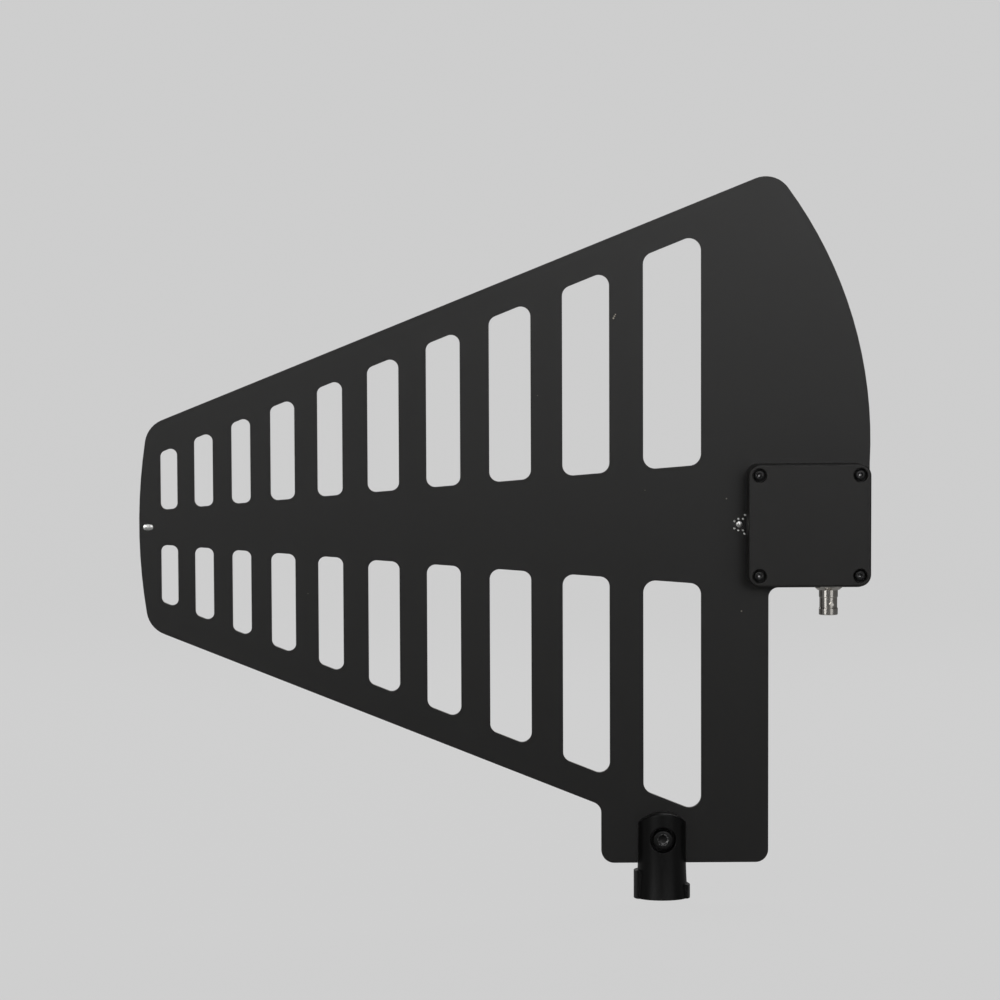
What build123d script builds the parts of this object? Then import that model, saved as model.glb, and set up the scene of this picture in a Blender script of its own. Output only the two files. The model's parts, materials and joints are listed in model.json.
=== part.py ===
from build123d import *
import os
from math import sqrt

os.makedirs("parts", exist_ok=True)

# Directional paddle antenna for radio microphones, standing on a microphone stand.
# A flat printed board carries a log-periodic row of slots. A square amplifier box is
# screwed to it at the wide end, with a bayonet coaxial jack underneath, and a moulded
# stand mount clamps the foot of the board.
#
# Frame, in millimetres: the origin is the mouth of the stand thread, +Z is up,
# the middle of the board lies in the plane y = 0, and its front faces -Y.

# Antenna board, seen from the front
BOARD_THICK = 3.2
AXIS_Z = 191.5
NOSE_X = -266.0
NOSE_RADIUS = 283.0
NOSE_CORNER = 14.0
RIM_HALF = 156.2
RIM_SLOPE = 0.4004
CROWN_CORNER = 14.0
REAR_CENTRE_X = -109.5
REAR_CENTRE_Z = 234.0
REAR_RADIUS = 215.8
REAR_CORNER = 6.0
SHELF_DROP = 32.4
SHELF_INNER_CORNER = 5.0
LEG_LEFT = -31.0
LEG_WIDTH = 85.5
LEG_CORNER = 6.5
LEG_INNER_CORNER = 6.0

# Slots between the radiating fingers, from the nose to the wide end
SLOT_START = -255.0
SLOT_WIDTHS = (8.6, 9.5, 9.6, 12.3, 12.7, 15.9, 17.2, 21.2, 24.0, 29.6)
FINGER_WIDTHS = (8.6, 9.5, 10.2, 11.6, 12.8, 14.0, 14.8, 16.0, 17.1)
RIM_WIDTH = 16.1
SPINE_HALF = 28.76
SPINE_SLOPE = 0.0782
SLOT_CORNER = 2.0
SLOT_CORNER_GROWTH = 0.14

# Soldered joints of the feed line
NOSE_JOINT_INSET = 4.5
NOSE_JOINT_LENGTH = 4.6
NOSE_JOINT_WIDTH = 2.6
FEED_GAP = 3.5
FEED_RADIUS = 1.4
SOLDER_RISE = 0.3
VIA_RADIUS = 0.45
VIA_PLACES = ((2.9, 4.7), (1.9, 2.7), (-0.5, 2.8), (-2.5, 1.6),
              (-2.5, -2.1), (-0.5, -3.1), (1.8, -3.1), (2.5, -4.8))

# Amplifier box
BOX_SIDE = 62.0
BOX_INSET = 0.9
BOX_CORNER = 6.0
BOX_EDGE = 0.9
FRONT_DEPTH = 17.0
REAR_DEPTH = 9.0
BOX_WALL = 2.5
BOX_FACE_WALL = 2.2
BOSS_RADIUS = 4.2
COVER_SCREW_PITCH = 51.0
COUNTERBORE_RADIUS = 3.4
COUNTERBORE_DEPTH = 4.0
COUNTERBORE_CHAMFER = 0.4
TAPPED_DEPTH = 7.0

# Cover screws, size M3
COVER_SCREW_RADIUS = 1.5
COVER_SCREW_LENGTH = 22.0
COVER_HEAD_RADIUS = 2.75
COVER_HEAD_HEIGHT = 3.0
COVER_SOCKET = 2.5
SCREW_CLEARANCE = 0.2
THREAD_CLEARANCE = 0.05
HEAD_CHAMFER = 0.3

# Amplifier inside the box
AMP_BOARD_WIDTH = 40.0
AMP_BOARD_BELOW = 22.5
AMP_BOARD_ABOVE = 26.0
AMP_BOARD_THICK = 1.2
PIN_RADIUS = 0.6
PIN_STAND = 0.8
PIN_INSET = 2.5
CAN_WIDTH = 24.0
CAN_HEIGHT = 20.0
CAN_DEPTH = 5.0
CAN_SHEET = 0.3
CAN_CORNER = 1.2
CAN_OFFSET_X = -4.0
CAN_OFFSET_Z = 10.0
CHIP_SIDE = 4.0
CHIP_THICK = 0.9
FILTER_WIDTH = 5.0
FILTER_HEIGHT = 7.0
FILTER_THICK = 1.6
FILTER_SPACING = 6.5
REGULATOR_WIDTH = 6.5
REGULATOR_HEIGHT = 3.5
REGULATOR_THICK = 1.6
COIL_RADIUS = 2.6
COIL_THICK = 3.0
CAPACITOR_WIDTH = 1.25
CAPACITOR_HEIGHT = 2.0
CAPACITOR_THICK = 0.9
CAPACITOR_COUNT = 6
CAPACITOR_SPACING = 3.2
PART_ROW_DROP = 9.0

# Bayonet coaxial jack under the box, 50 ohm
JACK_OFFSET = 10.2
JACK_STANDOFF = 7.6
JACK_REACH = 14.8
JACK_FLANGE_ACROSS = 14.0
JACK_FLANGE_THICK = 2.1
JACK_FLANGE_CONE = 5.5
JACK_BARREL_RADIUS = 4.8
JACK_WAIST_RADIUS = 4.5
JACK_RIM_LENGTH = 3.4
JACK_BORE_RADIUS = 4.05
JACK_BORE_DEPTH = 8.6
JACK_STEM_RADIUS = 4.76
JACK_STEM_SPARE = 1.2
JACK_STEM_CLEARANCE = 0.12
LUG_RADIUS = 1.0
LUG_REACH = 5.5
LUG_FROM_MOUTH = 5.5
LUG_TURN = 13.0
INSULATOR_RADIUS = 3.3
SLEEVE_RADIUS = 2.45
SLEEVE_FROM_MOUTH = 4.7
CONTACT_RADIUS = 1.05
CONTACT_BORE = 0.68
CONTACT_BORE_DEPTH = 5.0
CONTACT_FROM_MOUTH = 5.2
CONTACT_LENGTH = 6.5
TAIL_RADIUS = 0.65
TAIL_PAST_BOARD_EDGE = 2.6
LINK_RADIUS = 0.5
LINK_INSET = 1.2
WASHER_RADIUS = 6.6
WASHER_THICK = 0.6
WASHER_TEETH = 10
WASHER_NOTCH = 1.0
PANEL_NUT_ACROSS = 12.7
PANEL_NUT_THICK = 2.3

# Stand mount
MOUNT_TOP = 44.4
MOUNT_RADIUS = 12.3
ARCH_RADIUS = 16.5
ARCH_EDGE = 0.8
FOOT_RADIUS = 13.4
FLARE_TOP = 24.0
SKIRT_RADIUS = 14.45
SKIRT_FRONT = 6.5
SKIRT_LEFT = 14.1
SKIRT_BEVEL = 0.6
SKIRT_RIGHT = 6.6
SLOT_FLOOR = 18.0
SLOT_CLEARANCE = 0.1
CLAMP_Z = 30.9
CLAMP_BORE_RADIUS = 6.6
CLAMP_SEAT = 2.7

# Clamp screw, size M6, with its washer and nut
CLAMP_SCREW_RADIUS = 3.0
CLAMP_SCREW_LENGTH = 16.0
CLAMP_HEAD_RADIUS = 5.0
CLAMP_HEAD_HEIGHT = 6.0
CLAMP_SOCKET = 5.0
CLAMP_WASHER_RADIUS = 6.2
CLAMP_WASHER_THICK = 1.0
CLAMP_NUT_ACROSS = 10.0
CLAMP_NUT_THICK = 5.0
CLAMP_NUT_CLEARANCE = 0.15

# Threaded insert for the stand, 5/8 inch with 27 threads to the inch
STAND_BORE_RADIUS = 7.58
INSERT_RADIUS = 9.6
INSERT_LENGTH = 15.0

# Places that follow from the sizes above
FRONT_FACE = -BOARD_THICK / 2
REAR_FACE = BOARD_THICK / 2
BOX_FRONT = FRONT_FACE - FRONT_DEPTH
BOX_REAR = REAR_FACE + REAR_DEPTH
BOX_BOTTOM = AXIS_Z - BOX_SIDE / 2
BOX_TOP = AXIS_Z + BOX_SIDE / 2
PAD_RIGHT = REAR_CENTRE_X + sqrt(REAR_RADIUS ** 2 - (REAR_CENTRE_Z - BOX_TOP) ** 2)
BOX_X = PAD_RIGHT - BOX_INSET - BOX_SIDE / 2
CAVITY_SIDE = BOX_SIDE - 2 * BOX_WALL
CAVITY_CORNER = BOX_CORNER - BOX_WALL
AMP_FACE = FRONT_FACE - AMP_BOARD_THICK
AMP_EDGE = AXIS_Z - AMP_BOARD_BELOW
JACK_X = BOX_X + JACK_OFFSET
JACK_Y = FRONT_FACE - JACK_STANDOFF
JACK_MOUTH = BOX_BOTTOM - JACK_REACH
STEM_TOP = BOX_BOTTOM + BOX_WALL + WASHER_THICK + PANEL_NUT_THICK + JACK_STEM_SPARE
TAIL_TOP = AMP_EDGE + TAIL_PAST_BOARD_EDGE
COVER_CORNERS = [(BOX_X + sx * COVER_SCREW_PITCH / 2, AXIS_Z + sz * COVER_SCREW_PITCH / 2)
                 for sz in (1, -1) for sx in (-1, 1)]
PIN_PLACES = [(BOX_X - AMP_BOARD_WIDTH / 2 + PIN_INSET, AXIS_Z)]
PIN_PLACES += [(BOX_X + sx * (AMP_BOARD_WIDTH / 2 - PIN_INSET), z)
               for sx in (-1, 1)
               for z in (AMP_EDGE + PIN_INSET, AXIS_Z + AMP_BOARD_ABOVE - PIN_INSET)]
FEED_X = BOX_X - BOX_SIDE / 2 - FEED_GAP
CAN_X = BOX_X + CAN_OFFSET_X
CAN_Z = AXIS_Z + CAN_OFFSET_Z
PART_ROW_Z = AXIS_Z - PART_ROW_DROP
CLAMP_SEAT_Y = BOARD_THICK / 2 + SLOT_CLEARANCE + CLAMP_SEAT


def slab(outline, y_start, y_end):
    """Solid between two planes of constant y, from an outline drawn in x and z."""
    plane = Plane(origin=(0, y_start, 0), x_dir=(1, 0, 0), z_dir=(0, -1, 0))
    return extrude(plane * outline, y_start - y_end)


def near(shape, x, z):
    """The corner of a flat outline that lies nearest to a point."""
    return shape.vertices().sort_by_distance((x, z, 0))[0]


def ring(outer, inner, height):
    """A flat ring that stands on z = 0."""
    base = (Align.CENTER, Align.CENTER, Align.MIN)
    return Cylinder(outer, height, align=base) - Cylinder(inner, height, align=base)


def socket_screw(radius, length, head_radius, head_height, socket):
    """A cap screw with its seat at z = 0, its head above and its shank below."""
    head = Cylinder(head_radius, head_height, align=(Align.CENTER, Align.CENTER, Align.MIN))
    head = chamfer(head.edges().filter_by(GeomType.CIRCLE).sort_by(Axis.Z)[-1], HEAD_CHAMFER)
    shank = Cylinder(radius, length, align=(Align.CENTER, Align.CENTER, Align.MAX))
    shank = chamfer(shank.edges().filter_by(GeomType.CIRCLE).sort_by(Axis.Z)[0], radius / 4)
    hexagon = RegularPolygon(socket / 2, 6, major_radius=False)
    recess = extrude(Pos(0, 0, head_height) * hexagon, -head_height / 2)
    return head + shank - recess


def facing_front(part, x, y, z):
    """Turn a part that was made along +Z so that it points to the front, and place it."""
    return Pos(x, y, z) * Rot(90, 0, 0) * part


def half_height(x):
    """Distance from the antenna's axis to its slanted rim at x."""
    return RIM_HALF + RIM_SLOPE * x


def spine_half(x):
    """Half the height of the unslotted spine at x."""
    return SPINE_HALF + SPINE_SLOPE * x


def board_outline():
    """The paddle: a wedge cut by the nose and rear arcs, with its leg and the pad under the box."""
    past_nose = NOSE_X - NOSE_CORNER
    past_rear = REAR_CENTRE_X + REAR_RADIUS + CROWN_CORNER
    shelf = AXIS_Z - SHELF_DROP
    leg_right = LEG_LEFT + LEG_WIDTH
    wedge = Polygon(
        (past_nose, AXIS_Z + half_height(past_nose)),
        (past_nose, AXIS_Z - half_height(past_nose)),
        (LEG_LEFT, AXIS_Z - half_height(LEG_LEFT)),
        (LEG_LEFT, shelf),
        (past_rear, shelf),
        (past_rear, AXIS_Z + half_height(past_rear)),
        align=None,
    )
    nose = Pos(NOSE_X + NOSE_RADIUS, AXIS_Z) * Circle(NOSE_RADIUS)
    rear = Pos(REAR_CENTRE_X, REAR_CENTRE_Z) * Circle(REAR_RADIUS)
    rear_half = Polygon(
        (REAR_CENTRE_X, shelf - CROWN_CORNER),
        (past_rear + CROWN_CORNER, shelf - CROWN_CORNER),
        (past_rear + CROWN_CORNER, AXIS_Z + half_height(past_rear) + CROWN_CORNER),
        (REAR_CENTRE_X, AXIS_Z + half_height(past_rear) + CROWN_CORNER),
        align=None,
    )
    leg = Polygon(
        (LEG_LEFT, SLOT_FLOOR),
        (leg_right, SLOT_FLOOR),
        (leg_right, shelf),
        (LEG_LEFT, shelf),
        align=None,
    )
    pad = Polygon(
        (leg_right, shelf),
        (PAD_RIGHT, shelf),
        (PAD_RIGHT, BOX_TOP),
        (leg_right, BOX_TOP),
        align=None,
    )
    outline = (wedge & nose) - (rear_half - rear) + leg + pad
    crown_x = REAR_CENTRE_X + REAR_RADIUS * 0.8
    corners = [
        (NOSE_X, AXIS_Z + half_height(NOSE_X), NOSE_CORNER),
        (NOSE_X, AXIS_Z - half_height(NOSE_X), NOSE_CORNER),
        (crown_x, AXIS_Z + half_height(crown_x), CROWN_CORNER),
        (PAD_RIGHT, shelf, REAR_CORNER),
        (leg_right, shelf, SHELF_INNER_CORNER),
        (LEG_LEFT, AXIS_Z - half_height(LEG_LEFT), LEG_INNER_CORNER),
        (LEG_LEFT, SLOT_FLOOR, LEG_CORNER),
        (leg_right, SLOT_FLOOR, LEG_CORNER),
    ]
    for x, z, radius in corners:
        outline = fillet(near(outline, x, z), radius)
    return outline


def slot_outline(left, width, side):
    """One slot, above the spine for side = 1 and below it for side = -1."""
    right = left + width
    slot = Polygon(
        (left, AXIS_Z + side * spine_half(left)),
        (right, AXIS_Z + side * spine_half(right)),
        (right, AXIS_Z + side * (half_height(right) - RIM_WIDTH)),
        (left, AXIS_Z + side * (half_height(left) - RIM_WIDTH)),
        align=None,
    )
    return fillet(slot.vertices(), SLOT_CORNER + SLOT_CORNER_GROWTH * width)


def slots():
    """Every slot of both rows, each a little wider and longer than the last."""
    left = SLOT_START
    found = []
    for index, width in enumerate(SLOT_WIDTHS):
        found += [slot_outline(left, width, side) for side in (1, -1)]
        if index < len(FINGER_WIDTHS):
            left += width + FINGER_WIDTHS[index]
    return found


def nose_joint_outline():
    """The plated slot at the nose where the feed line is soldered."""
    return Pos(NOSE_X + NOSE_JOINT_INSET, AXIS_Z) * SlotOverall(NOSE_JOINT_LENGTH, NOSE_JOINT_WIDTH)


def antenna_board():
    outline = board_outline()
    for slot in slots():
        outline -= slot
    outline -= nose_joint_outline()
    outline -= Pos(FEED_X, AXIS_Z) * Circle(FEED_RADIUS)
    for x, z in VIA_PLACES:
        outline -= Pos(FEED_X + x, AXIS_Z + z) * Circle(VIA_RADIUS)
    for x, z in PIN_PLACES:
        outline -= Pos(x, z) * Circle(PIN_RADIUS)
    for x, z in COVER_CORNERS:
        outline -= Pos(x, z) * Circle(COVER_SCREW_RADIUS + SCREW_CLEARANCE)
    outline -= Pos(0, CLAMP_Z) * Circle(CLAMP_SCREW_RADIUS + SCREW_CLEARANCE)
    return slab(outline, FRONT_FACE, REAR_FACE)


def solder_plug(outline):
    """Solder that fills a plated hole and stands a little proud, sloped, on both faces."""
    plug = slab(outline, FRONT_FACE - SOLDER_RISE, REAR_FACE + SOLDER_RISE)
    ends = plug.faces().filter_by(Axis.Y)
    return chamfer(ends.edges(), SOLDER_RISE * 0.8)


def ground_vias():
    """Small plated posts round the feed joint."""
    rise = SOLDER_RISE / 2
    posts = [Pos(FEED_X + x, AXIS_Z + z) * Circle(VIA_RADIUS) for x, z in VIA_PLACES]
    return [slab(post, FRONT_FACE - rise, REAR_FACE + rise) for post in posts]


def cover_outline(side, corner):
    return Pos(BOX_X, AXIS_Z) * RectangleRounded(side, side, corner)


def cover_shell(inner_face, outer_face, wall):
    """A shallow square cover, open towards the board, with a screw boss in each corner."""
    towards_board = 1 if inner_face > outer_face else -1
    body = slab(cover_outline(BOX_SIDE, BOX_CORNER), inner_face, outer_face)
    outside = body.faces().sort_by(Axis.Y)[0 if towards_board > 0 else -1]
    body = fillet(outside.edges(), BOX_EDGE)
    floor = outer_face + towards_board * wall
    cavity = slab(cover_outline(CAVITY_SIDE, CAVITY_CORNER), inner_face, floor)
    for x, z in COVER_CORNERS:
        cavity -= slab(Pos(x, z) * Circle(BOSS_RADIUS), inner_face, floor)
    return body - cavity


def front_cover():
    cover = cover_shell(FRONT_FACE, BOX_FRONT, BOX_FACE_WALL)
    seat = BOX_FRONT + COUNTERBORE_DEPTH
    for x, z in COVER_CORNERS:
        cover -= slab(Pos(x, z) * Circle(COVER_SCREW_RADIUS + SCREW_CLEARANCE), FRONT_FACE, seat)
        cover -= slab(Pos(x, z) * Circle(COUNTERBORE_RADIUS), seat, BOX_FRONT)
        mouth = Cone(COUNTERBORE_RADIUS, COUNTERBORE_RADIUS + COUNTERBORE_CHAMFER, COUNTERBORE_CHAMFER,
                     align=(Align.CENTER, Align.CENTER, Align.MAX))
        cover -= facing_front(mouth, x, BOX_FRONT, z)
    hole = Cylinder(JACK_STEM_RADIUS + JACK_STEM_CLEARANCE, 2 * BOX_WALL)
    return cover - Pos(JACK_X, JACK_Y, BOX_BOTTOM + BOX_WALL / 2) * hole


def rear_cover():
    cover = cover_shell(REAR_FACE, BOX_REAR, BOX_FACE_WALL)
    for x, z in COVER_CORNERS:
        tapped = Pos(x, z) * Circle(COVER_SCREW_RADIUS + THREAD_CLEARANCE)
        cover -= slab(tapped, REAR_FACE, REAR_FACE + TAPPED_DEPTH)
    return cover


def cover_screws():
    screw = socket_screw(COVER_SCREW_RADIUS, COVER_SCREW_LENGTH, COVER_HEAD_RADIUS,
                         COVER_HEAD_HEIGHT, COVER_SOCKET)
    seat = BOX_FRONT + COUNTERBORE_DEPTH
    return [facing_front(screw, x, seat, z) for x, z in COVER_CORNERS]


def amplifier_board():
    height = AMP_BOARD_BELOW + AMP_BOARD_ABOVE
    middle = AMP_EDGE + height / 2
    outline = Pos(BOX_X, middle) * Rectangle(AMP_BOARD_WIDTH, height)
    for x, z in PIN_PLACES:
        outline -= Pos(x, z) * Circle(PIN_RADIUS)
    return slab(outline, FRONT_FACE, AMP_FACE)


def board_pins():
    """Soldered pins that carry the amplifier board: one signal pin and four earth pins."""
    posts = [Pos(x, z) * Circle(PIN_RADIUS) for x, z in PIN_PLACES]
    return [slab(post, REAR_FACE + PIN_STAND, AMP_FACE - PIN_STAND) for post in posts]


def shield_can():
    """A folded tin lid over the amplifier chip and its filter."""
    outside = Pos(CAN_X, CAN_Z) * RectangleRounded(CAN_WIDTH, CAN_HEIGHT, CAN_CORNER)
    inside = Pos(CAN_X, CAN_Z) * RectangleRounded(
        CAN_WIDTH - 2 * CAN_SHEET, CAN_HEIGHT - 2 * CAN_SHEET, CAN_CORNER - CAN_SHEET)
    lid = AMP_FACE - CAN_DEPTH
    return slab(outside, AMP_FACE, lid) - slab(inside, AMP_FACE, lid + CAN_SHEET)


def on_amp_board(outline, x, z, thick):
    """A component that stands on the front of the amplifier board."""
    return slab(Pos(x, z) * outline, AMP_FACE, AMP_FACE - thick)


def amplifier_chip():
    return on_amp_board(Rectangle(CHIP_SIDE, CHIP_SIDE), CAN_X - FILTER_SPACING, CAN_Z, CHIP_THICK)


def filter_blocks():
    """Two ceramic band filters beside the chip."""
    outline = Rectangle(FILTER_WIDTH, FILTER_HEIGHT)
    return [on_amp_board(outline, CAN_X + step * FILTER_SPACING, CAN_Z, FILTER_THICK)
            for step in (0, 1)]


def regulator_chip():
    outline = Rectangle(REGULATOR_WIDTH, REGULATOR_HEIGHT)
    return on_amp_board(outline, CAN_X, PART_ROW_Z, REGULATOR_THICK)


def bias_coil():
    """The choke that feeds the amplifier from the coaxial line."""
    x = JACK_X
    body = on_amp_board(Circle(COIL_RADIUS), x, PART_ROW_Z, COIL_THICK)
    groove = on_amp_board(Circle(COIL_RADIUS) - Circle(COIL_RADIUS * 0.75), x, PART_ROW_Z, COIL_THICK * 2 / 3)
    rest = on_amp_board(Circle(COIL_RADIUS), x, PART_ROW_Z, COIL_THICK / 3)
    return body - (groove - rest)


def capacitors():
    outline = Rectangle(CAPACITOR_WIDTH, CAPACITOR_HEIGHT)
    first = CAN_X - CAPACITOR_SPACING * (CAPACITOR_COUNT - 1) / 2
    z = (PART_ROW_Z + AMP_EDGE) / 2
    return [on_amp_board(outline, first + step * CAPACITOR_SPACING, z, CAPACITOR_THICK)
            for step in range(CAPACITOR_COUNT)]


def turned(points):
    """A solid turned about the jack's axis from (radius, height) points."""
    profile = Polygon(*points, align=None)
    solid = revolve(Plane.XZ * profile, Axis.Z)
    return Pos(JACK_X, JACK_Y, 0) * solid


def jack_shell():
    """Barrel with its rim, six-sided flange and threaded stem, and two bayonet lugs."""
    flange_bottom = BOX_BOTTOM - JACK_FLANGE_THICK
    rim_top = JACK_MOUTH + JACK_RIM_LENGTH
    waist_step = JACK_BARREL_RADIUS - JACK_WAIST_RADIUS
    bore_end = JACK_MOUTH + JACK_BORE_DEPTH
    body = turned([
        (INSULATOR_RADIUS, STEM_TOP),
        (JACK_STEM_RADIUS, STEM_TOP),
        (JACK_STEM_RADIUS, flange_bottom),
        (JACK_BARREL_RADIUS, flange_bottom),
        (JACK_BARREL_RADIUS, rim_top + 2 * JACK_RIM_LENGTH - LUG_RADIUS),
        (JACK_WAIST_RADIUS, rim_top + 2 * JACK_RIM_LENGTH - LUG_RADIUS - waist_step),
        (JACK_WAIST_RADIUS, rim_top + waist_step),
        (JACK_BARREL_RADIUS, rim_top),
        (JACK_BARREL_RADIUS, JACK_MOUTH + waist_step),
        (JACK_WAIST_RADIUS, JACK_MOUTH),
        (JACK_BORE_RADIUS, JACK_MOUTH),
        (JACK_BORE_RADIUS, bore_end),
        (INSULATOR_RADIUS, bore_end),
    ])
    hexagon = RegularPolygon(JACK_FLANGE_ACROSS / 2, 6, major_radius=False)
    flange = extrude(hexagon, JACK_FLANGE_THICK)
    corner_radius = JACK_FLANGE_ACROSS / sqrt(3)
    cone = Cone(JACK_FLANGE_CONE, corner_radius, JACK_FLANGE_THICK,
                align=(Align.CENTER, Align.CENTER, Align.MIN))
    base = (Align.CENTER, Align.CENTER, Align.MIN)
    flange = (flange & cone) - Cylinder(JACK_STEM_RADIUS, JACK_FLANGE_THICK, align=base)
    shell = body + Pos(JACK_X, JACK_Y, flange_bottom) * flange
    lug = Cylinder(LUG_RADIUS, LUG_REACH - JACK_BORE_RADIUS, align=base)
    for turn in (LUG_TURN, LUG_TURN + 180):
        place = Pos(JACK_X, JACK_Y, JACK_MOUTH + LUG_FROM_MOUTH) * Rot(0, 0, turn)
        shell += place * Pos(0, -JACK_BORE_RADIUS - waist_step / 2, 0) * Rot(90, 0, 0) * lug
    return shell


def jack_insulator():
    """White plastic core of the jack, with the sleeve round its contact."""
    bore_end = JACK_MOUTH + JACK_BORE_DEPTH
    sleeve_end = JACK_MOUTH + SLEEVE_FROM_MOUTH
    contact_top = JACK_MOUTH + CONTACT_FROM_MOUTH + CONTACT_LENGTH
    return turned([
        (TAIL_RADIUS, STEM_TOP),
        (INSULATOR_RADIUS, STEM_TOP),
        (INSULATOR_RADIUS, bore_end),
        (SLEEVE_RADIUS, bore_end),
        (SLEEVE_RADIUS, sleeve_end),
        (CONTACT_RADIUS, sleeve_end),
        (CONTACT_RADIUS, contact_top),
        (TAIL_RADIUS, contact_top),
    ])


def jack_contact():
    """Centre contact with its socket below and its solder tail above."""
    low = JACK_MOUTH + CONTACT_FROM_MOUTH
    return turned([
        (0, TAIL_TOP),
        (TAIL_RADIUS, TAIL_TOP),
        (TAIL_RADIUS, low + CONTACT_LENGTH),
        (CONTACT_RADIUS, low + CONTACT_LENGTH),
        (CONTACT_RADIUS, low),
        (CONTACT_BORE, low),
        (CONTACT_BORE, low + CONTACT_BORE_DEPTH),
        (0, low + CONTACT_BORE_DEPTH),
    ])


def signal_link():
    """Wire from the jack's tail to the amplifier board."""
    wire = slab(Pos(JACK_X, TAIL_TOP - LINK_INSET) * Circle(LINK_RADIUS), AMP_FACE, JACK_Y)
    tail = Cylinder(TAIL_RADIUS, 4 * LINK_INSET)
    return wire - Pos(JACK_X, JACK_Y, TAIL_TOP) * tail


def lock_washer():
    """Washer with teeth on its inner edge."""
    washer = ring(WASHER_RADIUS, JACK_STEM_RADIUS + THREAD_CLEARANCE, WASHER_THICK)
    notch = Pos(JACK_STEM_RADIUS, 0, WASHER_THICK / 2) * Box(WASHER_NOTCH * 1.6, WASHER_NOTCH, WASHER_THICK)
    washer -= [Rot(0, 0, 360 / WASHER_TEETH * tooth) * notch for tooth in range(WASHER_TEETH)]
    return Pos(JACK_X, JACK_Y, BOX_BOTTOM + BOX_WALL) * washer


def hexagon_nut(across, thick, bore):
    """A nut that stands on z = 0, with its corners turned down at both ends."""
    nut = extrude(RegularPolygon(across / 2, 6, major_radius=False), thick)
    corner_radius = across / sqrt(3)
    bevel = corner_radius - across / 2
    round_off = Cylinder(corner_radius, thick, align=(Align.CENTER, Align.CENTER, Align.MIN))
    round_off = chamfer(round_off.edges().filter_by(GeomType.CIRCLE), bevel / 2, bevel)
    base = (Align.CENTER, Align.CENTER, Align.MIN)
    return (nut & round_off) - Cylinder(bore, thick, align=base)


def panel_nut():
    nut = hexagon_nut(PANEL_NUT_ACROSS, PANEL_NUT_THICK, JACK_STEM_RADIUS + THREAD_CLEARANCE)
    return Pos(JACK_X, JACK_Y, BOX_BOTTOM + BOX_WALL + WASHER_THICK) * nut


def mount_body():
    """Cylinder with an arched top, a flared foot and a skirt, slotted to take the board."""
    side = Line((0, 0), (FOOT_RADIUS, 0))
    side += TangentArc((MOUNT_RADIUS, FLARE_TOP), (FOOT_RADIUS, 0), tangent=(0, -1))
    side += Line((MOUNT_RADIUS, FLARE_TOP), (MOUNT_RADIUS, MOUNT_TOP))
    side += Line((MOUNT_RADIUS, MOUNT_TOP), (0, MOUNT_TOP))
    side += Line((0, MOUNT_TOP), (0, 0))
    body = revolve(Plane.XZ * make_face(side), Axis.Z)
    reach = 2 * SKIRT_RADIUS
    arch_centre = MOUNT_TOP - ARCH_RADIUS
    above = Pos(0, arch_centre) * Rectangle(2 * reach, reach, align=(Align.CENTER, Align.MIN))
    above -= Pos(0, arch_centre) * Circle(ARCH_RADIUS)
    body -= slab(above, -reach, reach)
    body = fillet(body.faces().sort_by(Axis.Z)[-1].edges(), ARCH_EDGE)
    body += mount_skirt()
    width = BOARD_THICK + 2 * SLOT_CLEARANCE
    low = (Align.CENTER, Align.CENTER, Align.MIN)
    body -= Pos(0, 0, SLOT_FLOOR) * Box(reach, width, MOUNT_TOP, align=low)
    body -= facing_front(Cylinder(CLAMP_SCREW_RADIUS + SCREW_CLEARANCE, reach), 0, 0, CLAMP_Z)
    body -= facing_front(Cylinder(CLAMP_BORE_RADIUS, reach, align=low), 0, -CLAMP_SEAT_Y, CLAMP_Z)
    pocket = RegularPolygon(CLAMP_NUT_ACROSS / 2 + CLAMP_NUT_CLEARANCE, 6, major_radius=False)
    body -= slab(Pos(0, CLAMP_Z) * pocket, CLAMP_SEAT_Y, reach)
    body -= Cylinder(INSERT_RADIUS, INSERT_LENGTH, align=low)
    return body


def mount_skirt():
    """Raised skirt round the sides and back of the foot: bevelled, and lower on its right."""
    low = (Align.CENTER, Align.CENTER, Align.MIN)
    skirt = Cylinder(SKIRT_RADIUS, SKIRT_LEFT, align=low)
    skirt += Pos(0, 0, SKIRT_LEFT) * Cone(SKIRT_RADIUS, MOUNT_RADIUS, SKIRT_BEVEL, align=low)
    reach = 2 * SKIRT_RADIUS
    above = Polygon(
        (-MOUNT_RADIUS, SKIRT_LEFT + SKIRT_BEVEL),
        (SKIRT_RADIUS, SKIRT_RIGHT),
        (reach, SKIRT_RIGHT),
        (reach, reach),
        (-MOUNT_RADIUS, reach),
        align=None,
    )
    skirt -= slab(above, -reach, reach)
    front = Box(reach, reach, reach, align=(Align.CENTER, Align.MAX, Align.MIN))
    return skirt - Pos(0, -SKIRT_FRONT, 0) * front


def clamp_screw():
    screw = socket_screw(CLAMP_SCREW_RADIUS, CLAMP_SCREW_LENGTH, CLAMP_HEAD_RADIUS,
                         CLAMP_HEAD_HEIGHT, CLAMP_SOCKET)
    return facing_front(screw, 0, -CLAMP_SEAT_Y - CLAMP_WASHER_THICK, CLAMP_Z)


def clamp_washer():
    washer = ring(CLAMP_WASHER_RADIUS, CLAMP_SCREW_RADIUS + SCREW_CLEARANCE, CLAMP_WASHER_THICK)
    return facing_front(washer, 0, -CLAMP_SEAT_Y, CLAMP_Z)


def clamp_nut():
    nut = hexagon_nut(CLAMP_NUT_ACROSS, CLAMP_NUT_THICK, CLAMP_SCREW_RADIUS + THREAD_CLEARANCE)
    return facing_front(nut, 0, CLAMP_SEAT_Y + CLAMP_NUT_THICK, CLAMP_Z)


def thread_insert():
    """Metal bush moulded into the foot, bored and tapped for the stand."""
    return ring(INSERT_RADIUS, STAND_BORE_RADIUS, INSERT_LENGTH)


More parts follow.
